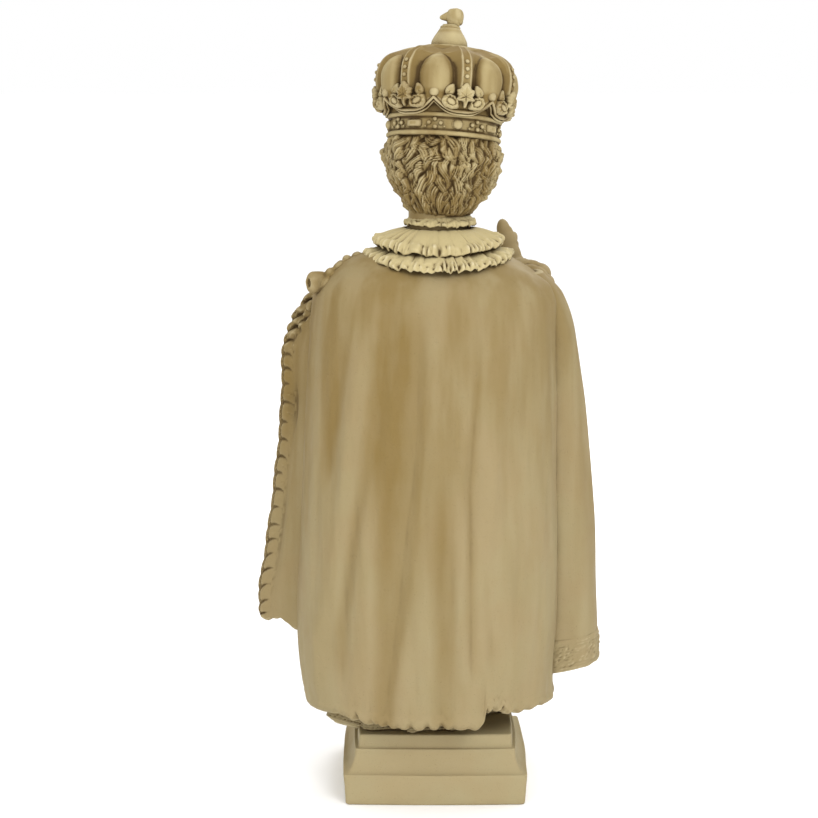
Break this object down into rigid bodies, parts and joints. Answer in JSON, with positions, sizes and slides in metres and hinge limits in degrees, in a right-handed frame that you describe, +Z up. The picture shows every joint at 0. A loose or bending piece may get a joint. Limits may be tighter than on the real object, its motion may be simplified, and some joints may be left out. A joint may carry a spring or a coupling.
{
  "type": "infant of prague statue",
  "caption": "Free-standing cast statue of a crowned robed child in a long gathered cape, right hand raised, left hand under a globe, on a square moulded plinth.",
  "frame": {"origin": "middle of the plinth's flat underside", "axes": "+Z up the statue, the figure looks along -Y, +X towards the figure's left hand with the globe"},
  "size_m": [0.279, 0.1884, 0.6101],
  "materials": {
    "cast_stone": "matt antique cream cast stone, tinted darker brown in the hollows and rubbed lighter on the edges, slightly mottled"
  },
  "bodies": {
    "root": {"statue": "cast_stone"}
  },
  "joints": []
}
